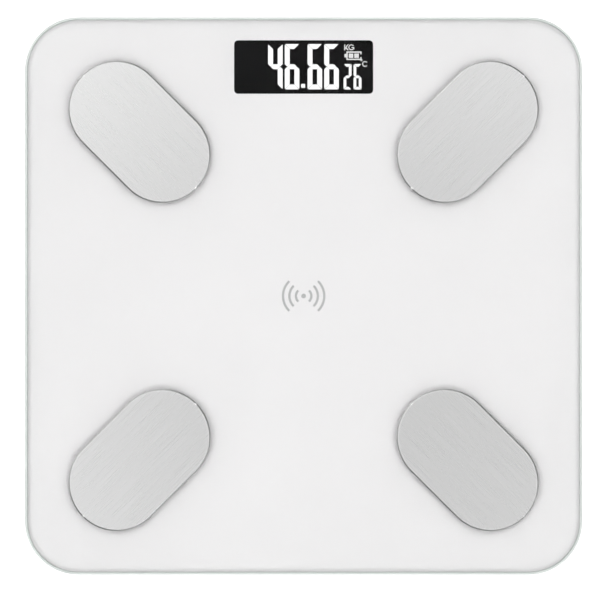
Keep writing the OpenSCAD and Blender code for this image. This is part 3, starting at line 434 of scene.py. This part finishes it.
def makeLaminate(name, colour, second):
    material, tree, shader = newFinish(name, Roughness=laminate["roughness"])
    place = addNode(tree, "ShaderNodeTexCoord").outputs["Object"]
    perThread = 0.314 / (laminate["thread"] * mm)   # a wave repeats every 0.314 over its scale
    threads = [addNode(tree, "ShaderNodeTexWave", {"Vector": place, "Scale": perThread,
                                                   "Distortion": laminate["wander"]},
                       bands_direction=axis).outputs["Fac"] for axis in ("X", "Y")]
    weave = addNode(tree, "ShaderNodeMath", {0: threads[0], 1: threads[1]}, operation="MAXIMUM")
    tone = addNode(tree, "ShaderNodeMix",
                   {"Factor": weave.outputs[0], firstColour: linear(colour),
                    secondColour: linear(second)}, data_type="RGBA")
    tree.links.new(tone.outputs[2], shader.inputs["Base Color"])
    bump = addNode(tree, "ShaderNodeBump", {"Height": weave.outputs[0], "Strength": 1.0,
                                            "Distance": laminate["relief"] * mm})
    tree.links.new(bump.outputs[0], shader.inputs["Normal"])
    return material


materials["toughenedFloatGlass"] = makeGlass()
materials["groundGlassEdge"] = makeGroundEdge()
materials["smokedPolyester"] = makeFilm()
for name, finish in litFinishes.items():
    materials[name] = makeLit(name, finish)
materials["lineGrainStainless"] = makeSteel()
for name, (colour, second) in laminate["boards"].items():
    materials[name] = makeLaminate(name, colour, second)
print("materials:", len(materials))

# What each solid of the frame is made of
madeOf = {
    "back_print": "ceramicInkWhite", "wireless_icon": "ceramicInkGrey",
    "display_filter": "smokedPolyester", "electrode_adhesive": "acrylicAdhesive",
    "contact_studs": "brightNickel", "contact_nuts": "brightNickel",
    "contact_terminals": "tinnedBrass", "rim_tape": "foamTape", "prop_tape": "foamTape",
    "bottom_housing": "sparkErodedAbs", "strain_gauges": "siliconeSealant",
    "retainer_screws": "zincPlatedScrew", "main_board": "greenLaminate",
    "controller_chip": "chipEpoxy", "amplifier_chip": "chipEpoxy",
    "wireless_module": "blueLaminate", "small_components": "componentBody",
    "wire_connectors": "connectorNylon", "display_frame": "blackPolycarbonate",
    "large_digits": "litWhiteEpoxy", "small_digits": "litWhiteEpoxy",
    "display_symbols": "litGreyEpoxy", "display_seal": "foamTape", "display_pins": "tinnedBrass",
    "board_screws": "zincPlatedScrew", "tactile_switch": "chipEpoxy",
    "switch_plunger": "chipEpoxy", "unit_button": "greyKeyAbs", "battery_door": "sparkErodedAbs",
    "battery_springs": "brightNickel", "battery_plates": "brightNickel",
    "battery_wires": "redPvcSleeve", "sensor_wires": "palePvcSleeve",
    "electrode_wires": "darkPvcSleeve", "rating_label": "labelFilm",
}
for node in nodes:
    for ending, finish in (("_load_cell", "zincPlatedSpringSteel"), ("_retainer", "mouldedAcetal"),
                           ("_foot_cap", "sparkErodedAbs"), ("_foot_pad", "softRubber")):
        if node.endswith(ending):
            madeOf[node] = finish
    if node.startswith("battery_") and node[8:].isdigit():
        madeOf[node] = "cellSleeve"
for node, finish in madeOf.items():
    for holder in nodes[node].material_slots:
        holder.material = materials[finish]
print("solids dressed:", len(madeOf))


def outline(width, depth, radius, steps):
    # points and outward directions round a rectangle with round corners, counterclockwise
    ring = []
    for quarter in range(4):
        signX, signY = ((1, 1), (-1, 1), (-1, -1), (1, -1))[quarter]
        centre = (signX * (width / 2 - radius), signY * (depth / 2 - radius))
        for i in range(steps + 1):
            turn = math.radians(90 * (quarter + i / steps))
            way = (math.cos(turn), math.sin(turn))
            ring.append((centre[0], centre[1], radius, way))
    return ring


def plate(name, width, depth, radius, profile, steps, holes=(), holeRadius=0, holeSteps=32,
          edgeSlot=0):
    # A plate whose edge follows profile, a list of (inset, height) from the bottom to the top.
    # Sharp edges are marked round its flat faces, and the rest is shaded smooth.
    ring = outline(width, depth, radius, steps)
    shape = bmesh.new()
    levels = [[shape.verts.new((cx + (r - inset) * way[0], cy + (r - inset) * way[1], height))
               for cx, cy, r, way in ring] for inset, height in profile]
    wells = []
    for cx, cy in holes:
        turns = [2 * math.pi * i / holeSteps for i in range(holeSteps)]
        wells.append([[shape.verts.new((cx + holeRadius * math.cos(t), cy + holeRadius * math.sin(t),
                                        height)) for t in turns]
                      for height in (profile[0][1], profile[-1][1])])
    count = len(ring)
    for low, high in zip(levels, levels[1:]):
        for i in range(count):
            j = (i + 1) % count
            side = shape.faces.new((low[i], low[j], high[j], high[i]))
            side.smooth = True
            side.material_index = edgeSlot
    for low, high in wells:
        for i in range(holeSteps):
            j = (i + 1) % holeSteps
            shape.faces.new((low[j], low[i], high[i], high[j])).smooth = True
    for side, level in ((0, levels[0]), (1, levels[-1])):
        loops = [level] + [well[side] for well in wells]
        edges = [shape.edges.get((loop[i], loop[(i + 1) % len(loop)]))
                 for loop in loops for i in range(len(loop))]
        for edge in edges:
            edge.smooth = False
        made = bmesh.ops.triangle_fill(shape, edges=edges, use_beauty=True,
                                       normal=(0, 0, 1 if side else -1))
        for face in made["geom"]:
            if isinstance(face, bmesh.types.BMFace):
                face.normal_update()
                if (face.normal.z > 0) != bool(side):
                    face.normal_flip()
    mesh = bpy.data.meshes.new(name)
    shape.to_mesh(mesh)
    shape.free()
    return mesh


def addPiece(name, mesh, finishNames, body):
    # puts a finished mesh on its body; clearing its materials would lose which face has which
    piece = bpy.data.objects.new(name, mesh)
    bpy.context.scene.collection.objects.link(piece)
    slots = [polygon.material_index for polygon in mesh.polygons]
    mesh.materials.clear()
    for finishName in finishNames:
        mesh.materials.append(materials[finishName])
    mesh.polygons.foreach_set("material_index", slots)
    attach(piece, body)
    return piece


# The glass is lifted a hundredth of a millimetre off the print, so that the two faces don't coincide
glass = {
    "corner": 25,       # mm
    "bevel": 0.9,       # mm
    "arris": 0.12,      # mm, how far each ground edge is rounded
    "lift": 0.01,       # mm, off the print
    "holeRadius": 2.5,  # mm
    "studRadius": 1.5,  # mm
    "cornerSteps": 24,
}


def edgeProfile(thickness, bevel, arris):
    # ground bevels above and below, with every edge rounded by shares of the arris
    cut = arris * 0.7
    return [(bevel + arris, 0), (bevel + arris * 0.4, arris * 0.12), (bevel - cut, cut),
            (cut, bevel - cut), (arris * 0.12, bevel + arris * 0.4), (0, bevel + arris),
            (0, thickness - bevel - arris), (arris * 0.12, thickness - bevel - arris * 0.4),
            (cut, thickness - bevel + cut), (bevel - cut, thickness - cut),
            (bevel + arris * 0.4, thickness - arris * 0.12), (bevel + arris, thickness)]


low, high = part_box("glass_platform")
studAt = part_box("contact_studs")[1].x - glass["studRadius"] * mm
glassLow = low.z + glass["lift"] * mm
profile = [(inset * mm, glassLow + height * mm) for inset, height in
           edgeProfile((high.z - glassLow) / mm, glass["bevel"], glass["arris"])]
holes = [(x * studAt, y * studAt) for x, y in corners.values()]
slab = plate("glassSlab", high.x - low.x, high.y - low.y, glass["corner"] * mm, profile,
             glass["cornerSteps"], holes, glass["holeRadius"] * mm, edgeSlot=1)
glassSlab = addPiece("glassSlab", slab, ["toughenedFloatGlass", "groundGlassEdge"], "scale")
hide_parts("glass_platform")

# One electrode plate, which a node tree puts on the four corners with its length pointing outward
electrode = {
    "length": 75, "width": 45, "thickness": 0.8,   # mm
    "rimRun": 0.75, "rimDrop": 0.55,               # mm
    "arris": 0.05,                                 # mm
    "cornerSteps": 40,
}


def makeElectrode():
    thick, run, drop, soft = (electrode[key] for key in ("thickness", "rimRun", "rimDrop", "arris"))
    rim = [(0, 0), (0, thick - drop - soft), (soft * 0.3, thick - drop - soft * 0.1),
           (soft * 1.2, thick - drop + soft * 0.8), (run - soft, thick - soft * 0.7),
           (run + soft * 0.3, thick - soft * 0.1), (run + soft * 1.5, thick)]
    mesh = plate("electrodePlate", electrode["length"] * mm, electrode["width"] * mm,
                 electrode["width"] / 2 * mm, [(i * mm, z * mm) for i, z in rim],
                 electrode["cornerSteps"])
    grain = mesh.attributes.new("grain", "FLOAT_VECTOR", "POINT")
    for vertex, value in zip(mesh.vertices, grain.data):
        value.vector = vertex.co
    return mesh


def newTree(name, sizes):
    # an empty node tree that takes a mesh, the sizes named and a finish, and gives back a mesh
    tree = bpy.data.node_groups.new(name, "GeometryNodeTree")
    for socket, kind in {"Geometry": "Geometry", **sizes, "Finish": "Material"}.items():
        tree.interface.new_socket(socket, in_out="INPUT", socket_type="NodeSocket" + kind)
    tree.interface.new_socket("Geometry", in_out="OUTPUT", socket_type="NodeSocketGeometry")
    return tree, addNode(tree, "NodeGroupInput")


def cornerTree():
    # puts its geometry on the four corners of a square, each turned to point outward
    tree, given = newTree("cornerPlates", {"Spacing": "Float", "Height": "Float"})
    square = addNode(tree, "GeometryNodeCurvePrimitiveQuadrilateral",
                     {"Width": given.outputs["Spacing"], "Height": given.outputs["Spacing"]})
    points = addNode(tree, "GeometryNodeCurveToPoints", {"Curve": square.outputs[0]},
                     mode="EVALUATED")
    place = addNode(tree, "GeometryNodeInputPosition")
    parts = addNode(tree, "ShaderNodeSeparateXYZ", {"Vector": place.outputs[0]})
    angle = addNode(tree, "ShaderNodeMath", {0: parts.outputs["Y"], 1: parts.outputs["X"]},
                    operation="ARCTAN2")
    turn = addNode(tree, "ShaderNodeCombineXYZ", {"Z": angle.outputs[0]})
    copies = addNode(tree, "GeometryNodeInstanceOnPoints",
                     {"Points": points.outputs["Points"], "Instance": given.outputs["Geometry"],
                      "Rotation": turn.outputs[0]})
    rise = addNode(tree, "ShaderNodeCombineXYZ", {"Z": given.outputs["Height"]})
    lifted = addNode(tree, "GeometryNodeTranslateInstances",
                     {"Instances": copies.outputs[0], "Translation": rise.outputs[0],
                      "Local Space": False})
    real = addNode(tree, "GeometryNodeRealizeInstances", {"Geometry": lifted.outputs[0]})
    dressed = addNode(tree, "GeometryNodeSetMaterial",
                      {"Geometry": real.outputs[0], "Material": given.outputs["Finish"]})
    addNode(tree, "NodeGroupOutput", {"Geometry": dressed.outputs[0]})
    return tree


def growMesh(name, source, tree, inputs):
    # runs a node tree on a mesh and returns the result as a plain mesh, with no modifier left
    grower = bpy.data.objects.new(name + "Grower", source)
    bpy.context.scene.collection.objects.link(grower)
    modifier = grower.modifiers.new("grow", "NODES")
    modifier.node_group = tree
    for item in tree.interface.items_tree:
        if item.in_out == "INPUT" and item.name in inputs:
            modifier[item.identifier] = inputs[item.name]
    shown = bpy.context.evaluated_depsgraph_get()
    result = bpy.data.meshes.new_from_object(grower.evaluated_get(shown),
                                             preserve_all_data_layers=True, depsgraph=shown)
    result.name = name
    bpy.data.objects.remove(grower)
    return result


low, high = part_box("rear_right_electrode")
spacing = low.x + high.x
plates = growMesh("electrodePlates", makeElectrode(), cornerTree(),
                  {"Spacing": spacing, "Height": low.z, "Finish": materials["lineGrainStainless"]})
electrodes = addPiece("electrodePlates", plates, ["lineGrainStainless"], "scale")
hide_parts(*[corner + "_electrode" for corner in corners])
print("glass and electrodes made:", len(slab.polygons), len(plates.polygons), "faces")


# Small pips stand in the grooves of each rubber pad, and keep the grooves open under load
pips = {
    "rings": [6, 9, 12],   # mm, radii of the grooves
    "step": 1.6,           # mm between pips
    "radius": 0.28,        # mm
    "height": 0.4,         # mm
    "taper": 0.6,          # the tip's radius as a share of the foot's
    "sides": 8,
    "depth": 0.5,          # mm from the pad's face to the groove's floor
}


def pipTree():
    # adds a ring of small blunt cones to its geometry, their wide ends up against the groove's floor
    tree, given = newTree("treadPips", {"Ring Radius": "Float", "Count": "Int",
                                        "Pip Radius": "Float", "Pip Height": "Float",
                                        "Centre": "Vector"})
    circle = addNode(tree, "GeometryNodeCurvePrimitiveCircle",
                     {"Resolution": given.outputs["Count"], "Radius": given.outputs["Ring Radius"]})
    narrow = addNode(tree, "ShaderNodeMath", {0: given.outputs["Pip Radius"], 1: pips["taper"]},
                     operation="MULTIPLY")
    pip = addNode(tree, "GeometryNodeMeshCone",
                  {"Vertices": pips["sides"], "Side Segments": 1, "Radius Top": narrow.outputs[0],
                   "Radius Bottom": given.outputs["Pip Radius"],
                   "Depth": given.outputs["Pip Height"]})
    copies = addNode(tree, "GeometryNodeInstanceOnPoints",
                     {"Points": circle.outputs["Curve"], "Instance": pip.outputs["Mesh"],
                      "Rotation": (math.pi, 0, 0)})
    real = addNode(tree, "GeometryNodeRealizeInstances", {"Geometry": copies.outputs[0]})
    moved = addNode(tree, "GeometryNodeTransform",
                    {"Geometry": real.outputs[0], "Translation": given.outputs["Centre"]})
    joined = addNode(tree, "GeometryNodeJoinGeometry", {"Geometry": moved.outputs[0]})
    tree.links.new(given.outputs["Geometry"], joined.inputs[0])
    dressed = addNode(tree, "GeometryNodeSetMaterial",
                      {"Geometry": joined.outputs[0], "Material": given.outputs["Finish"]})
    addNode(tree, "NodeGroupOutput", {"Geometry": dressed.outputs[0]})
    return tree


pipNodes = pipTree()
for corner in corners:
    low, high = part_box(corner + "_foot_pad")
    middle = (low + high) / 2
    tread = bpy.data.meshes.new("tread")
    for ringRadius in pips["rings"]:
        tread = growMesh("tread", tread, pipNodes, {
            "Ring Radius": ringRadius * mm,
            "Count": int(2 * math.pi * ringRadius / pips["step"]),
            "Pip Radius": pips["radius"] * mm, "Pip Height": pips["height"] * mm,
            "Centre": (middle.x, middle.y, low.z + pips["depth"] * mm),
            "Finish": materials["softRubber"]})
    addPiece(corner + "_treadPips", tread, ["softRubber"], corner + "_foot")
print("feet made")
